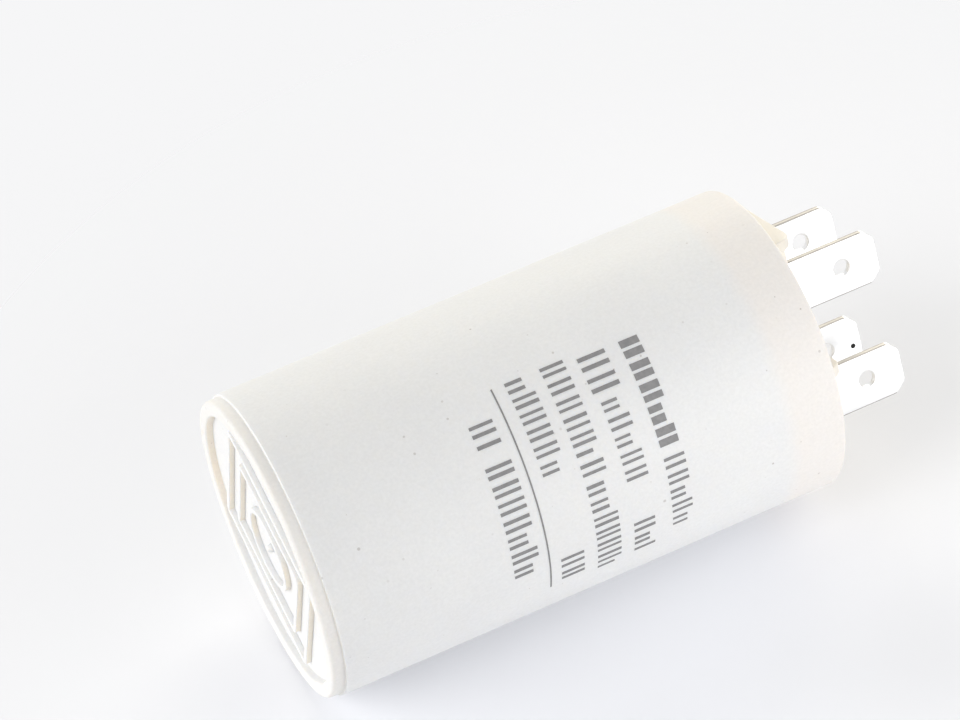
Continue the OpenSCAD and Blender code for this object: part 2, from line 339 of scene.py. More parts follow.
def piece(name, shape, materials, replaces=()):
    """Makes a mesh of a shape, in metres, with outward faces, and lets it ride on the part."""
    mesh = bpy.data.meshes.new(name)
    mesh.from_pydata((np.vstack(shape.points) * MM).tolist(), [], shape.faces)
    for material in materials:
        mesh.materials.append(material)
    mesh.polygons.foreach_set("material_index", np.array(shape.finish, np.int32))
    work = bmesh.new()
    work.from_mesh(mesh)
    bmesh.ops.recalc_face_normals(work, faces=work.faces)
    work.to_mesh(mesh)
    work.free()
    mesh.polygons.foreach_set("use_smooth", np.ones(len(mesh.polygons), bool))
    mesh.set_sharp_from_angle(angle=math.radians(SHARP_ANGLE))
    # Share of warm white for each point: painted shade on steep faces that turn from the light, and a tint on
    # the foot
    warm_tint_and_painted_shade = np.concatenate(shape.warm_tint_and_painted_shade).astype(np.float32)
    if warm_tint_and_painted_shade.any():
        mesh.attributes.new("warm_tint_and_painted_shade", "FLOAT", "POINT").data.foreach_set("value", warm_tint_and_painted_shade)
    mesh.update()
    made = bpy.data.objects.new(name, mesh)
    bpy.context.scene.collection.objects.link(made)
    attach(made, BODY)
    if replaces:
        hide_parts(*replaces)


# Materials

# Warm band on the can: from below the lid's seat to above it
BAND_BELOW = 1.6
BAND_ABOVE = 1.0
# How far a metal's roughness goes down and up along its rolling lines
GLOSS_SPREAD = 0.07


def colour(code):
    """sRGB hex value as linear red, green, blue and alpha."""
    c = np.array([int(code[k:k + 2], 16) for k in (1, 3, 5)]) / 255
    return (*np.where(c <= 0.04045, c / 12.92, ((c + 0.055) / 1.055) ** 2.4), 1.0)


def grow(tree, kind, inputs=None, **settings):
    """Adds a node with its settings; an input is a value, or a socket that is linked to it."""
    made = tree.nodes.new(kind)
    for key, value in settings.items():
        setattr(made, key, value)
    for key, value in (inputs or {}).items():
        if isinstance(value, bpy.types.NodeSocket):
            tree.links.new(value, made.inputs[key])
        else:
            made.inputs[key].default_value = value
    return made


def new_material(name):
    """Empty node material with its tree, its output and the Object coordinates of the piece."""
    made = bpy.data.materials.new(name)
    made.use_nodes = True
    tree = made.node_tree
    tree.nodes.clear()
    out = grow(tree, "ShaderNodeOutputMaterial")
    return made, tree, out, grow(tree, "ShaderNodeTexCoord").outputs["Object"]


def per_mm(size):
    """Texture scale for a pattern of this size in millimetres, on coordinates in metres."""
    return 1 / (size * MM)


def moulded_polypropylene():
    """White polypropylene from a mould: soft light under the skin, a fine grain, faint clouding and a few
    specks. Beside the lid's skirt the thin wall lets the cream lid show through as a warmer band. Steep faces
    of the closed end that don't look up where the can lies are painted a warmer white as painted shade, and
    its foot gets a share of the same warm white all round."""
    made, tree, out, where = new_material("moulded_polypropylene")
    z = grow(tree, "ShaderNodeSeparateXYZ", {"Vector": where}).outputs["Z"]
    cloud = grow(tree, "ShaderNodeTexNoise", {
        "Vector": where, "Scale": per_mm(9), "Detail": 3.0}).outputs["Fac"]
    white = grow(tree, "ShaderNodeMix", {
        "Factor": cloud, "A": colour("#e3e3e3"), "B": colour("#e9e9e8")}, data_type="RGBA").outputs["Result"]
    # Painted shade: the point attribute mixes in a warmer white on steep faces that turn from the light, and
    # a plain share of it on the foot
    warm_share = grow(tree, "ShaderNodeAttribute", attribute_name="warm_tint_and_painted_shade").outputs["Fac"]
    body = grow(tree, "ShaderNodeMix", {
        "Factor": warm_share, "A": white, "B": colour("#f3ebde")}, data_type="RGBA").outputs["Result"]
    band = grow(tree, "ShaderNodeMapRange", {
        "Value": z, "From Min": (LID_SEAT - BAND_BELOW) * MM, "From Max": (LID_SEAT + BAND_ABOVE) * MM},
        interpolation_type="SMOOTHSTEP").outputs["Result"]
    warm = grow(tree, "ShaderNodeMix", {
        "Factor": band, "A": body, "B": colour("#eae6e2")}, data_type="RGBA").outputs["Result"]
    # Specks: a cell's own colour gives its speck's radius, which is often nothing, and how dark it is
    cells = grow(tree, "ShaderNodeTexVoronoi", {"Vector": where, "Scale": per_mm(1.5)}).outputs
    chance = grow(tree, "ShaderNodeSeparateXYZ", {"Vector": cells["Color"]}).outputs
    radius = grow(tree, "ShaderNodeMapRange", {
        "Value": chance["X"], "From Min": 0.4, "From Max": 1.0, "To Min": 0.0, "To Max": 0.12})
    depth = grow(tree, "ShaderNodeMapRange", {
        "Value": chance["Y"], "From Min": 0.3, "From Max": 1.0, "To Min": 0.08, "To Max": 0.45})
    speck = grow(tree, "ShaderNodeMath", {
        0: cells["Distance"], 1: radius.outputs["Result"]}, operation="LESS_THAN").outputs["Value"]
    faint = grow(tree, "ShaderNodeMath", {
        0: speck, 1: depth.outputs["Result"]}, operation="MULTIPLY").outputs["Value"]
    dotted = grow(tree, "ShaderNodeMix", {
        "Factor": faint, "A": warm, "B": colour("#7d6a5a")}, data_type="RGBA").outputs["Result"]
    grain = grow(tree, "ShaderNodeTexNoise", {
        "Vector": where, "Scale": per_mm(0.35), "Detail": 2.0}).outputs["Fac"]
    bump = grow(tree, "ShaderNodeBump", {"Height": grain, "Strength": 0.35, "Distance": 0.03 * MM})
    shade = grow(tree, "ShaderNodeMapRange", {"Value": grain, "To Min": 0.94, "To Max": 1.06})
    mottled = grow(tree, "ShaderNodeHueSaturation", {"Value": shade.outputs["Result"], "Color": dotted})
    gloss = grow(tree, "ShaderNodeMapRange", {"Value": cloud, "To Min": 0.46, "To Max": 0.58})
    skin = grow(tree, "ShaderNodeBsdfPrincipled", {
        "Base Color": mottled.outputs["Color"], "Roughness": gloss.outputs["Result"], "IOR": 1.49,
        "Normal": bump.outputs["Normal"], "Subsurface Weight": 0.5,
        "Subsurface Radius": (1.0, 0.9, 0.75), "Subsurface Scale": 0.6 * MM})
    tree.links.new(skin.outputs["BSDF"], out.inputs["Surface"])
    return made


def moulded_nylon():
    """Cream nylon from a mould: warmer and a little glossier than the can, with a fine grain."""
    made, tree, out, where = new_material("moulded_nylon")
    cloud = grow(tree, "ShaderNodeTexNoise", {
        "Vector": where, "Scale": per_mm(6), "Detail": 3.0}).outputs["Fac"]
    body = grow(tree, "ShaderNodeMix", {
        "Factor": cloud, "A": colour("#ece6db"), "B": colour("#f2ede5")}, data_type="RGBA")
    grain = grow(tree, "ShaderNodeTexNoise", {
        "Vector": where, "Scale": per_mm(0.3), "Detail": 2.0}).outputs["Fac"]
    bump = grow(tree, "ShaderNodeBump", {"Height": grain, "Strength": 0.15, "Distance": 0.02 * MM})
    skin = grow(tree, "ShaderNodeBsdfPrincipled", {
        "Base Color": body.outputs["Result"], "Roughness": 0.45, "IOR": 1.53,
        "Normal": bump.outputs["Normal"], "Subsurface Weight": 0.15,
        "Subsurface Radius": (1.0, 0.9, 0.7), "Subsurface Scale": 0.6 * MM})
    tree.links.new(skin.outputs["BSDF"], out.inputs["Surface"])
    return made


def rolled_metal(name, low, high, roughness, stretch):
    """Metal strip: rolling lines along one way, drawn coarser than real ones so that they show, and a soft
    sheen."""
    made, tree, out, where = new_material(name)
    lay = grow(tree, "ShaderNodeMapping", {"Vector": where, "Scale": stretch})
    lines = grow(tree, "ShaderNodeTexNoise", {
        "Vector": lay.outputs["Vector"], "Scale": per_mm(0.5), "Detail": 4.0}).outputs["Fac"]
    cloud = grow(tree, "ShaderNodeTexNoise", {
        "Vector": where, "Scale": per_mm(3), "Detail": 2.0}).outputs["Fac"]
    tone = grow(tree, "ShaderNodeMix", {
        "Factor": cloud, "A": colour(low), "B": colour(high)}, data_type="RGBA")
    gloss = grow(tree, "ShaderNodeMapRange", {
        "Value": lines, "To Min": roughness - GLOSS_SPREAD, "To Max": roughness + GLOSS_SPREAD})
    bump = grow(tree, "ShaderNodeBump", {"Height": lines, "Strength": 0.04, "Distance": 0.01 * MM})
    skin = grow(tree, "ShaderNodeBsdfPrincipled", {
        "Base Color": tone.outputs["Result"], "Metallic": 1.0, "Roughness": gloss.outputs["Result"],
        "Normal": bump.outputs["Normal"]})
    tree.links.new(skin.outputs["BSDF"], out.inputs["Surface"])
    return made


def plain_stuff(name, low, high, roughness, grain_mm, metallic=0.0):
    """Inner pieces and dirt: two close tones in a grain of a real size, with a light bump."""
    made, tree, out, where = new_material(name)
    grain = grow(tree, "ShaderNodeTexNoise", {
        "Vector": where, "Scale": per_mm(grain_mm), "Detail": 3.0}).outputs["Fac"]
    tone = grow(tree, "ShaderNodeMix", {
        "Factor": grain, "A": colour(low), "B": colour(high)}, data_type="RGBA")
    bump = grow(tree, "ShaderNodeBump", {"Height": grain, "Strength": 0.2, "Distance": 0.03 * MM})
    skin = grow(tree, "ShaderNodeBsdfPrincipled", {
        "Base Color": tone.outputs["Result"], "Metallic": metallic, "Roughness": roughness,
        "Normal": bump.outputs["Normal"]})
    tree.links.new(skin.outputs["BSDF"], out.inputs["Surface"])
    return made


def screen_print_ink():
    """Grey ink pulled through a screen: matt, a little uneven where the film of ink is thin."""
    made, tree, out, where = new_material("screen_print_ink")
    thin = grow(tree, "ShaderNodeTexNoise", {
        "Vector": where, "Scale": per_mm(0.5), "Detail": 3.0}).outputs["Fac"]
    tone = grow(tree, "ShaderNodeMix", {
        "Factor": thin, "A": colour("#747475"), "B": colour("#959494")}, data_type="RGBA")
    skin = grow(tree, "ShaderNodeBsdfPrincipled", {
        "Base Color": tone.outputs["Result"], "Roughness": 0.6, "IOR": 1.5})
    tree.links.new(skin.outputs["BSDF"], out.inputs["Surface"])
    return made


WHITE_PLASTIC = moulded_polypropylene()
CREAM_PLASTIC = moulded_nylon()
TINNED_SHEET = rolled_metal("tinned_brass_sheet", "#eaeaea", "#f4f4f3", 0.3, (1.0, 1.0, 0.12))
# Long cut sides of the blades: dark grey, partly a bare sheared edge and partly painted shade where the
# edge's rounding turns from the light
SHEARED_EDGE_AND_SHADE = rolled_metal("sheared_brass_edge_and_painted_shade", "#98948f", "#aca9a4", 0.42, (1.0, 1.0, 0.3))
TINNED_RIVET = rolled_metal("tinned_rivet", "#c9cacb", "#dededd", 0.3, (1.0, 1.0, 1.0))
INK = screen_print_ink()
DIRT = plain_stuff("dried_dirt", "#0c0b0a", "#1a1816", 0.8, 0.1)


# Can

def wall_r(z):
    """Outer radius of the drafted wall at a height."""
    return MOUTH_R + math.tan(math.radians(DRAFT)) * (z - CAN_H)


def can_profile():
    """Section of the can from the middle of its end face, over foot, wall and mouth, and down to the middle
    of its floor."""
    foot_r = wall_r(FOOT_H) - FOOT_STEP
    rim_out = foot_r - FOOT_ROUND
    rim_in = rim_out - FOOT_W
    wall_in = rim_in - RIM_ROUND
    lip_r = wall_r(CAN_H)
    mouth_in = lip_r - MOUTH_WALL
    step_low = FOOT_H - STEP_ROUND
    step_top = FOOT_H + STEP_ROUND
    lip_low = CAN_H - LIP_ROUND
    inner = wall_r(LID_SEAT) - CAN_WALL
    turn_z = FLOOR_Z + FLOOR_FILLET
    turn_r = wall_r(turn_z) - CAN_WALL
    return np.vstack([
        [[wall_in - END_MARGIN, END_RECESS]],
        arc((wall_in - RECESS_FILLET, END_RECESS - RECESS_FILLET), RECESS_FILLET, 90, 0),
        arc((rim_in, RIM_ROUND), RIM_ROUND, 180, 270),
        line((rim_in, 0), (rim_out, 0), RIM_STEPS),
        arc((rim_out, FOOT_ROUND), FOOT_ROUND, 270, 360),
        line((foot_r, FOOT_ROUND), (foot_r, step_low), RIM_STEPS),
        arc((foot_r + STEP_ROUND, step_low), STEP_ROUND, 180, 90, SMALL_ARC_STEPS),
        arc((wall_r(step_top) - STEP_ROUND, step_top), STEP_ROUND, 270, 360, SMALL_ARC_STEPS),
        line((wall_r(step_top), step_top), (wall_r(lip_low), lip_low), WALL_STEPS),
        arc((lip_r - LIP_ROUND, lip_low), LIP_ROUND, 0, 90),
        [[mouth_in + MOUTH_BREAK, CAN_H], [mouth_in, CAN_H - MOUTH_BREAK]],
        [[wall_r(LID_SEAT) - MOUTH_WALL, LID_SEAT], [inner, LID_SEAT]],
        arc((turn_r - FLOOR_FILLET, turn_z), FLOOR_FILLET, 0, -90),
        [[MIDDLE_R, FLOOR_Z]],
    ])


def ridge_section():
    """Section of a ridge as offset from its middle line and height: drafted flanks, rounded upper edges."""
    half = RIDGE_W / 2
    right = arc((half - RIDGE_ROUND, RIDGE_H - RIDGE_ROUND), RIDGE_ROUND, 0, 90, SMALL_ARC_STEPS)
    up = np.vstack([[[half + RIDGE_DRAFT, -SINK], [half + RIDGE_DRAFT, 0.0]], right])
    return np.vstack([up, up[::-1] * (-1, 1)])


def painted_shade_of_steep(outward):
    """Painted shade of a steep face from its plan normal: a smooth step from 0 where it looks up, towards the
    light, to 1 where it doesn't."""
    t = np.clip((WHITE_ABOVE - outward @ LYING_UP[:2]) / (WHITE_ABOVE - FULL_SHADE_BELOW), 0, 1)
    return t * t * (3 - 2 * t)


def ridge(path):
    """Closed ridge on the end face: path(offset) gives the ring of plan points for each point of the section.
    Returns points, faces and the painted shade of the points of its two flanks."""
    outward = path(1.0) - path(0.0)
    rings = [at_height(path(offset), END_RECESS - height) for offset, height in ridge_section()]
    faces = quads(len(rings), len(rings[0]), close_rows=True, close_cols=True)
    warm_tint_and_painted_shade = np.zeros((len(rings), len(outward)))
    # Painted shade on the flanks that turn from the light
    warm_tint_and_painted_shade[:FLANK_RINGS] = painted_shade_of_steep(outward)
    warm_tint_and_painted_shade[-FLANK_RINGS:] = painted_shade_of_steep(-outward)
    return np.vstack(rings), faces.tolist(), warm_tint_and_painted_shade.ravel()


def square_path(side):
    """Rings of a turned square with rounded corners, at an offset from its middle line."""
    turn = math.radians(RELIEF_TURN)
    spin = np.array([[math.cos(turn), math.sin(turn)], [-math.sin(turn), math.cos(turn)]])
    half = side / 2
    corners = rectangle(-half, -half, half, half)
    return lambda offset: outline(corners, SQUARE_CORNER, -offset, CORNER_STEPS) @ spin


def ring_path(offset):
    """Ring of the relief at an offset from its middle line."""
    return arc((0, 0), RING_D / 2 + offset, 0, 360, RING_STEPS)[:-1]


def make_can():
    """Can: a surface of revolution, with two square ridges, a ring and a pip on its closed end."""
    points, faces = revolve(can_profile())
    warm_tint_and_painted_shade = np.zeros((len(points) // ROUND_STEPS, ROUND_STEPS))
    inward = arc((0, 0), -1.0, 0, 360, ROUND_STEPS)[:-1]
    # Painted shade on the recess's steep faces that turn from the light; the foot gets a plain warm tint
    warm_tint_and_painted_shade[RECESS_RINGS] = painted_shade_of_steep(inward)
    warm_tint_and_painted_shade[FOOT_RINGS] = FOOT_WARM_TINT
    shape = Shape().add(points, faces, 0, warm_tint_and_painted_shade.ravel())
    for path in (square_path(LARGE_SQUARE), square_path(SMALL_SQUARE), ring_path):
        points, faces, warm_tint_and_painted_shade = ridge(path)
        shape.add(points, faces, 0, warm_tint_and_painted_shade)
    pip = arc((0, 0), PIP_D / 2, 0, DOME_END, DOME_STEPS) * (1, -RIDGE_H / PIP_D * 2) + (0, END_RECESS)
    shape.add(*revolve(np.vstack([[[PIP_D / 2, END_RECESS + SINK]], pip]), PIP_STEPS))
    piece("can_shell", shape, [WHITE_PLASTIC], ["can"])


# Lid

def upright(x, y, turn):
    """Places a plate drawn as (along, up, across): along Y when turn is 0, along X when it is 1."""
    def place(p):
        along, up, across = p[:, 0], p[:, 1], p[:, 2]
        if turn:
            return np.column_stack([x + along, y + across, LID_TOP + up])
        return np.column_stack([x + across, y + along, LID_TOP + up])
    return place


def make_lid():
    """Lid: a plug of revolution with a rounded edge, three barrier walls and the low ribs of its trays."""
    lid_r = wall_r(LID_TOP) - MOUTH_WALL - LID_FIT
    low_r = wall_r(LID_SEAT) - MOUTH_WALL - LID_FIT
    flat_r = lid_r - LID_EDGE
    under = LID_TOP - LID_T
    plug = np.vstack([
        [[MIDDLE_R, under], [low_r - SKIRT_T, under], [low_r - SKIRT_T, LID_SEAT], [low_r, LID_SEAT]],
        arc((flat_r, LID_TOP - LID_EDGE), LID_EDGE, 0, 90),
        [[flat_r - LID_EDGE, LID_TOP]],
    ])
    shape = Shape().add(*revolve(plug))
    barrier_x = TERMINAL_X + BLADE_W / 2 + BARRIER_GAP + BARRIER_T / 2
    barrier_half = math.sqrt(flat_r ** 2 - (barrier_x + BARRIER_T / 2) ** 2) - BARRIER_INSET
    corner = (MOULD_EDGE, MOULD_EDGE, BARRIER_ROUND, BARRIER_ROUND)
    for x, half in ((0, flat_r - MIDDLE_INSET), (barrier_x, barrier_half), (-barrier_x, barrier_half)):
        shape.add(*plate(rectangle(-half, -SINK, half, BARRIER_H), corner, BARRIER_T, MOULD_EDGE,
                         upright(x - BARRIER_T / 2, 0, 0)))
    return_y = barrier_half - RETURN_INSET - BARRIER_T
    shoulder_y = BLADE_OUT_Y + SHOULDER_GAP
    ribs = ((barrier_x + BARRIER_T / 2 - RETURN_L, return_y, RETURN_L - BARRIER_T / 2, BARRIER_T),
            (TERMINAL_X - BLADE_W / 2, shoulder_y, BLADE_W, SHOULDER_T))
    for x, y, length, thickness in ribs:
        points, faces = plate(rectangle(0, -SINK, length, RIB_H), MOULD_EDGE, thickness, MOULD_EDGE,
                              upright(x, y, 1))
        shape.add(points, faces)
        shape.add(points * (-1, -1, 1), faces)
    piece("lid_moulding", shape, [CREAM_PLASTIC], ["lid"])


# Terminals

def make_terminal(name, side):
    """Double terminal: a strip folded up at both ends, and a blade with chamfered corners and a latch hole on
    each end."""
    shape = Shape()
    half = BLADE_W / 2
    outer_r = FOLD_R + SHEET_T
    fold_top = LID_TOP + outer_r
    mid_r = FOLD_R + SHEET_T / 2
    mid_y = BLADE_OUT_Y - SHEET_T / 2
    folds = ((mid_y - mid_r, 0, -90), (mid_r - mid_y, 270, 180))
    path = np.vstack([arc((y, fold_top), mid_r, start, end, FOLD_STEPS) for y, start, end in folds])
    normals = np.vstack([arc((0, 0), 1.0, start, end, FOLD_STEPS) for _, start, end in folds])
    section = outline(rectangle(-half, -SHEET_T / 2, half, SHEET_T / 2), SHEET_EDGE, 0, SHEET_STEPS)
    points, faces = sweep(path, normals, section)
    # The strip's two cut sides lie between the second and third corner and after the fourth
    is_side = np.isin(np.arange(len(faces)) % len(section), (len(section) // 2 - 1, len(section) - 1))
    is_side[-2:] = False
    shape.add(points + (side * TERMINAL_X, 0, 0), faces, is_side.astype(int).tolist())
    foot = fold_top - SHEET_EDGE
    shoulder = BLADE_TIP - BLADE_CHAMFER
    tip_half = half - BLADE_CHAMFER
    corners = [(-half, foot), (half, foot), (half, shoulder), (tip_half, BLADE_TIP), (-tip_half, BLADE_TIP),
               (-half, shoulder)]
    radii = (SHEET_EDGE, SHEET_EDGE) + (BLADE_CORNER,) * 4
    latch = (0, BLADE_TIP - LATCH_FROM_TIP)
    for end in (-1, 1):
        def place(p, y=end * mid_y - SHEET_T / 2):
            return np.column_stack([side * TERMINAL_X + p[:, 0], y + p[:, 2], p[:, 1]])
        shape.add(*holed_plate(corners, radii, latch, LATCH_D / 2, SHEET_T, SHEET_EDGE, place))
    piece("blades_" + name, shape, [TINNED_SHEET, SHEARED_EDGE_AND_SHADE], ["terminal_" + name])


def make_rivet(name, side):
    """Rivet: a surface of revolution with a domed head and a shallow dimple, and its shank and closed end
    below."""
    head_z = LID_TOP + SHEET_T
    head_r = RIVET_HEAD_D / 2
    dome = RIVET_HEAD_H / 2
    low = RIVET_LOW[2]
    tag_low = LID_TOP - LID_T - TAG_T
    dimple = arc((0, 0), RIVET_DIMPLE_D / 2, 0, -DOME_END, DOME_STEPS)
    dimple *= (1, RIVET_DIMPLE * 2 / RIVET_DIMPLE_D)
    profile = np.vstack([
        [[RIVET_MIDDLE_R, low], [RIVET_END_R, low], [RIVET_END_R, tag_low]],
        [[RIVET_D / 2, tag_low], [RIVET_D / 2, head_z], [head_r, head_z]],
        arc((head_r - dome, head_z + dome), dome, 0, 90),
        dimple + (0, head_z + RIVET_HEAD_H),
    ])
    points, faces = revolve(profile, RIVET_STEPS)
    shape = Shape().add(points + (side * TERMINAL_X, 0, 0), faces)
    piece("rivet_head_" + name, shape, [TINNED_RIVET], ["rivet_" + name])


def make_dirt():
    """Dark spot on the inner face of one blade: a flat dome of revolution about Y, sunk in part in the
    sheet."""
    x, z = DIRT_PLACE
    dome = arc((0, 0), DIRT_D / 2, 0, DOME_END, DOME_STEPS) * (1, DIRT_H / DIRT_D * 2)
    points, faces = revolve(np.vstack([[[DIRT_D / 2, -DIRT_H]], dome]), DIRT_STEPS)
    face_y = BLADE_OUT_Y - SHEET_T
    placed = np.column_stack([x + points[:, 0], face_y - points[:, 2], z + points[:, 1]])
    piece("dirt_spot", Shape().add(placed, faces), [DIRT])


# Print

def ink_stroke(left, right, low, high):
    """Film of ink on the wall between two angles and two heights: a four-cornered section carried round the
    axis. The print climbs by PRINT_SLOPE millimetres a degree, as a turned print does."""
    steps = max(2, int(math.ceil((right - left) / PRINT_STEP)))
    angle = np.linspace(left, right, steps + 1)[:, None]
    a = np.radians(angle)
    z = np.array([low, high, high, low])[None, :] + PRINT_SLOPE * (angle - PRINT_LEFT)
    r = wall_r(z) + np.array([INK_OUT, INK_OUT, -INK_IN, -INK_IN])[None, :]
    points = np.stack([r * np.cos(a), r * np.sin(a), z], -1)
    return points.reshape(-1, 3), capped(*z.shape)


def make_print():
    """Generic printed block: groups of upright bars of ink in rows, over and under a thin rule.
    Bars stand in pairs of one height; widths and gaps come from a seeded draw, and no two bars touch."""
    draw = np.random.RandomState(PRINT_SEED)
    per_degree = math.radians(1) * wall_r(CAN_H / 2)
    shape = Shape()
    # Each group: left and right angle, low and high edge, least and most width of a bar, usual gap
    groups = (
        (-135.8, -92.5, 40.3, 42.5, 0.7, 0.9, 0.36), (-91.5, -59.5, 40.3, 42.7, 0.3, 0.4, 0.5),
        (-135.8, -120.5, 35.4, 38.6, 0.42, 0.56, 0.6), (-118.5, -85.8, 35.8, 38.3, 0.28, 0.38, 0.5),
        (-70.8, -55.5, 35.7, 38.2, 0.34, 0.44, 0.5),
        (-137.8, -103.7, 31.3, 34.0, 0.3, 0.42, 0.48), (-101.2, -95.5, 31.3, 34.0, 0.3, 0.42, 0.48),
        (-93.3, -54.5, 31.3, 34.1, 0.3, 0.42, 0.48),
        (-137.8, -99.7, 27.2, 29.9, 0.3, 0.42, 0.48), (-68.8, -53.8, 27.0, 29.7, 0.34, 0.44, 0.5),
        (-128.2, -117.0, 21.7, 24.4, 0.34, 0.44, 0.5), (-113.0, -65.8, 21.6, 24.6, 0.34, 0.44, 0.48),
    )
    for left, right, low, high, thin, wide, gap in groups:
        start = left
        count = 0
        while start < right - thin / per_degree:
            if count % 2 == 0:
                top = high if draw.uniform() < TALL_SHARE else low + SHORT_BAR * (high - low)
            end = min(start + draw.uniform(thin, wide) / per_degree, right)
            shape.add(*ink_stroke(start, end, low, top))
            count += 1
            wider = PAIR_GAP if count % 2 == 0 else 1.0
            start = end + gap * draw.uniform(*GAP_RANGE) * wider / per_degree
    shape.add(*ink_stroke(PRINT_LEFT, RULE_RIGHT, RULE_LOW, RULE_HIGH))
    piece("printed_marks", shape, [INK])


make_can()
make_lid()
for terminal_name, terminal_side in (("left", -1), ("right", 1)):
    make_terminal(terminal_name, terminal_side)
    make_rivet(terminal_name, terminal_side)
make_dirt()
make_print()

# Pieces inside the can keep their solids
INNER_FINISH = {
    "solder_tag": plain_stuff("tinned_brass_tag", "#c9c2ad", "#d9d5c6", 0.35, 0.6, 1.0),
    "lead": plain_stuff("tinned_copper_wire", "#b98d63", "#cda27a", 0.35, 0.4, 1.0),
    "sleeve": plain_stuff("extruded_vinyl", "#7385a0", "#8295ae", 0.5, 0.8),
    "winding": plain_stuff("wound_metallised_film", "#aab0b5", "#c3c8cb", 0.3, 0.5, 0.6),
    "winding_core": plain_stuff("extruded_polypropylene", "#d6d1c2", "#e0dccf", 0.5, 1.0),
    "winding_wrap": plain_stuff("wound_polyester_tape", "#d3c283", "#dfd09a", 0.3, 1.5),
    "sprayed_end": plain_stuff("sprayed_zinc", "#85888b", "#a8abad", 0.75, 0.3, 0.8),
    "potting_resin": plain_stuff("cast_resin", "#ac9560", "#c2ac79", 0.25, 2.0),
}
for inner_name, inner_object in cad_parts.items():
    kind = max((k for k in INNER_FINISH if inner_name.startswith(k)), key=len, default=None)
    if kind:
        inner_object.data.materials.clear()
        inner_object.data.materials.append(INNER_FINISH[kind])


# Camera: place and roll that give the photograph's view of the lying can; its clip distances are metres

VIEW_AIM = np.array([-8.933, 4.400, 30.009])
VIEW_DISTANCE = 362.660
VIEW_AZIMUTH = -25.3561
VIEW_ELEVATION = -14.2798
VIEW_ROLL = -67.3850
VIEW_LENS = 124.864
VIEW_SENSOR = 36.0
VIEW_CLIP = (0.01, 20.0)


def unit(v):
    """Vector of length one."""
    return np.array(v, float) / np.linalg.norm(v)


def put(made, axes, place):
    """Turns an object to three axes, puts it at a place in millimetres and adds it to the scene."""
    turned = np.eye(4)
    turned[:3, :3] = np.column_stack(axes)
    turned[:3, 3] = place * MM
    made.matrix_world = Matrix(turned.tolist())
    bpy.context.scene.collection.objects.link(made)


def view_axes():
    """Camera's right, up and backward axes: back from azimuth and elevation, then a roll about it."""
    az, el, roll = np.radians([VIEW_AZIMUTH, VIEW_ELEVATION, VIEW_ROLL])
    back = np.array([math.sin(az) * math.cos(el), -math.cos(az) * math.cos(el), math.sin(el)])
    level = unit(np.cross((0, 0, 1), back))
    top = np.cross(back, level)
    up = math.cos(roll) * top + math.sin(roll) * level
    return np.cross(up, back), up, back


def make_camera():
    """Camera on the line through the aim point, with the fitted lens and no shift."""
    right, up, back = view_axes()
    data = bpy.data.cameras.new("camera")
    data.lens = VIEW_LENS
    data.sensor_width = VIEW_SENSOR
    data.clip_start, data.clip_end = VIEW_CLIP
    made = bpy.data.objects.new("camera", data)
    put(made, (right, up, back), VIEW_AIM + VIEW_DISTANCE * back)
    bpy.context.scene.camera = made


make_camera()


# Stage: floor along the can's side for the photograph's view, and floor under its foot for the others

FLOOR_REACH = 120.0
FLOOR_FADE = 80.0
FLOOR_MIDDLE = 50.0
FLOOR_GAP = 0.02
FLOOR_COLOUR = "#f8f9fd"
# Painted shade on the floor: a duller colour round the place where the mouth lamp's light falls strongest,
# and how far it reaches
FLOOR_SHADE_COLOUR = "#e6e7eb"
PAINTED_SHADE_PLACE = np.array([29.0, -30.0, 62.0])
PAINTED_SHADE_REACH = 30.0
# A direction along neither floor's normal, from which the sheets' sides are worked out
FLOOR_SKEW = (0.31, 0.2, 0.93)


def floor_material(name, centre):
    """Pale paper that shows its upper side only, fades out towards its rim, and has a painted shade, a duller
    colour, where the mouth lamp's light falls strongest, which holds back that lamp's pool of light."""
    made, tree, out, where = new_material(name)
    behind = grow(tree, "ShaderNodeNewGeometry").outputs["Backfacing"]
    away = grow(tree, "ShaderNodeVectorMath", {
        0: where, 1: tuple(np.array(centre) * MM)}, operation="DISTANCE").outputs["Value"]
    fade = grow(tree, "ShaderNodeMapRange", {
        "Value": away, "From Min": (FLOOR_REACH - FLOOR_FADE) * MM, "From Max": FLOOR_REACH * MM},
        interpolation_type="SMOOTHSTEP").outputs["Result"]
    clear = grow(tree, "ShaderNodeMath", {0: fade, 1: behind}, operation="MAXIMUM")
    # Painted shade: the floor turns to the duller colour near the mouth lamp's pool of light
    near = grow(tree, "ShaderNodeVectorMath", {
        0: where, 1: tuple(PAINTED_SHADE_PLACE * MM)}, operation="DISTANCE").outputs["Value"]
    bright = grow(tree, "ShaderNodeMapRange", {
        "Value": near, "From Min": 0.0, "From Max": PAINTED_SHADE_REACH * MM},
        interpolation_type="SMOOTHSTEP").outputs["Result"]
    tone = grow(tree, "ShaderNodeMix", {
        "Factor": bright, "A": colour(FLOOR_SHADE_COLOUR), "B": colour(FLOOR_COLOUR)}, data_type="RGBA")
    matt = grow(tree, "ShaderNodeBsdfDiffuse", {"Color": tone.outputs["Result"]})
    nothing = grow(tree, "ShaderNodeBsdfTransparent")
    mixed = grow(tree, "ShaderNodeMixShader", {
        0: clear.outputs["Value"], 1: matt.outputs["BSDF"], 2: nothing.outputs["BSDF"]})
    tree.links.new(mixed.outputs["Shader"], out.inputs["Surface"])
    return made


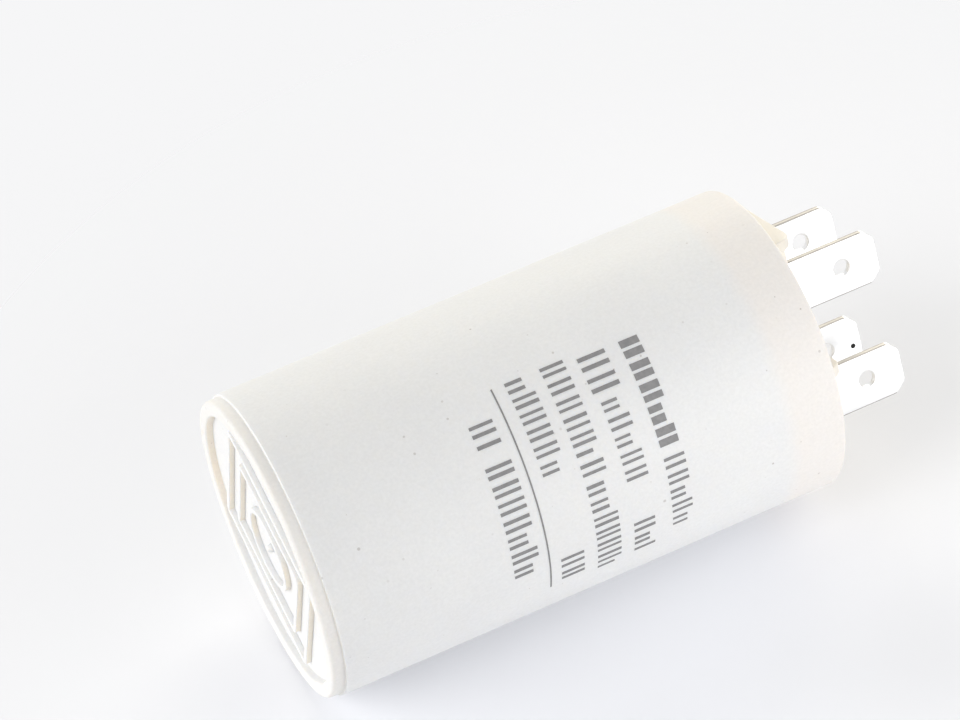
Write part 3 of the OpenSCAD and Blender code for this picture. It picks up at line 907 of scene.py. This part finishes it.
def make_floor(name, centre, up):
    """Square sheet round a point, facing up."""
    across = unit(np.cross(up, FLOOR_SKEW))
    along = np.cross(up, across)
    signs = ((-1, -1), (1, -1), (1, 1), (-1, 1))
    corners = [centre + FLOOR_REACH * (a * across + b * along) for a, b in signs]
    mesh = bpy.data.meshes.new(name)
    mesh.from_pydata((np.array(corners) * MM).tolist(), [], [[0, 1, 2, 3]])
    mesh.materials.append(floor_material(name + "_paper", centre))
    made = bpy.data.objects.new(name, mesh)
    bpy.context.scene.collection.objects.link(made)
    made.visible_shadow = False
    return made


make_floor("lying_floor", -LYING_UP * (MOUTH_R + FLOOR_GAP) + np.array([0, 0, FLOOR_MIDDLE]), LYING_UP)
# The floor under the foot is only looked at: it keeps no light from the closed end, which faces it
standing_floor = make_floor("standing_floor", np.array([0.0, 0.0, -FLOOR_GAP]), np.array([0.0, 0.0, 1.0]))
standing_floor.visible_diffuse = False
standing_floor.visible_glossy = False
standing_floor.visible_transmission = False


# Light: an even pale room, five soft lamps and a strip

ROOM_LEVEL = 0.42
UNDER_LEVEL = 0.9
UNDER_GAP = 9.0
UNDER_WIDTH = 6.0
UNDER_LOW = 9.0
BACK_COLOUR = "#fffaea"
PLAIN_COLOUR = "#ffffff"
BACKGROUND = "#f6f6f7"
# A direction that no lamp lies in, from which the lamps' sides are worked out
LAMP_SKEW = (0.2, 0.3, 0.93)
# Each lamp: name, direction from the can, distance, size, level and colour
LAMPS = (
    ("end_lamp", (-0.33, 0.31, -0.89), 900, 600, 0.43, PLAIN_COLOUR),
    ("low_lamp", (0.2, -0.6, -0.77), 900, 600, 0.14, PLAIN_COLOUR),
    ("front_lamp", (-0.5, -0.35, -0.79), 900, 600, 0.37, PLAIN_COLOUR),
    ("back_lamp", (-0.55, 0.55, 0.63), 900, 700, 0.64, BACK_COLOUR),
    ("mouth_lamp", (0.0, -0.826, 0.563), 194, 150, 0.5, PLAIN_COLOUR),
)


def make_room():
    """World that lights evenly, and shows a pale background to camera, glossy and transmission rays."""
    world = bpy.data.worlds.new("room")
    bpy.context.scene.world = world
    world.use_nodes = True
    tree = world.node_tree
    tree.nodes.clear()
    path = grow(tree, "ShaderNodeLightPath").outputs
    seen = grow(tree, "ShaderNodeMath", {
        0: path["Is Camera Ray"], 1: path["Is Glossy Ray"]}, operation="MAXIMUM").outputs["Value"]
    shown = grow(tree, "ShaderNodeMath", {
        0: seen, 1: path["Is Transmission Ray"]}, operation="MAXIMUM").outputs["Value"]
    room = grow(tree, "ShaderNodeBackground", {"Color": colour(PLAIN_COLOUR), "Strength": ROOM_LEVEL})
    backdrop = grow(tree, "ShaderNodeBackground", {"Color": colour(BACKGROUND), "Strength": 1.0})
    mixed = grow(tree, "ShaderNodeMixShader", {
        0: shown, 1: room.outputs["Background"], 2: backdrop.outputs["Background"]})
    out = grow(tree, "ShaderNodeOutputWorld")
    tree.links.new(mixed.outputs["Shader"], out.inputs["Surface"])


def make_lamp(name, towards, distance, size, level, tint):
    """Square lamp that faces the middle of the can; level is the tone that it adds to white facing it."""
    direction = unit(towards)
    data = bpy.data.lights.new(name, "AREA")
    data.shape = "SQUARE"
    data.size = size * MM
    data.color = colour(tint)[:3]
    data.energy = level * math.pi ** 2 * (distance * MM) ** 2
    made = bpy.data.objects.new(name, data)
    made.visible_camera = False
    side = unit(np.cross(LAMP_SKEW, direction))
    put(made, (side, np.cross(direction, side), direction), direction * distance + (0, 0, CAN_H / 2))


def make_strip():
    """Strip lamp behind the lying floor, along the line where the can touches it, which is black from behind
    without it."""
    data = bpy.data.lights.new("under_lamp", "AREA")
    data.shape = "RECTANGLE"
    data.size, data.size_y = (CAN_H - UNDER_LOW) * MM, UNDER_WIDTH * MM
    data.energy = UNDER_LEVEL * math.pi * data.size * data.size_y
    made = bpy.data.objects.new("under_lamp", data)
    made.visible_camera = False
    length = np.array([0.0, 0.0, 1.0])
    away = -unit(LYING_UP)
    middle = away * (MOUTH_R + UNDER_GAP) + length * (CAN_H + UNDER_LOW) / 2
    put(made, (length, np.cross(away, length), away), middle)


make_room()
make_strip()
for lamp in LAMPS:
    make_lamp(*lamp)

bpy.context.scene.view_settings.view_transform = "Standard"
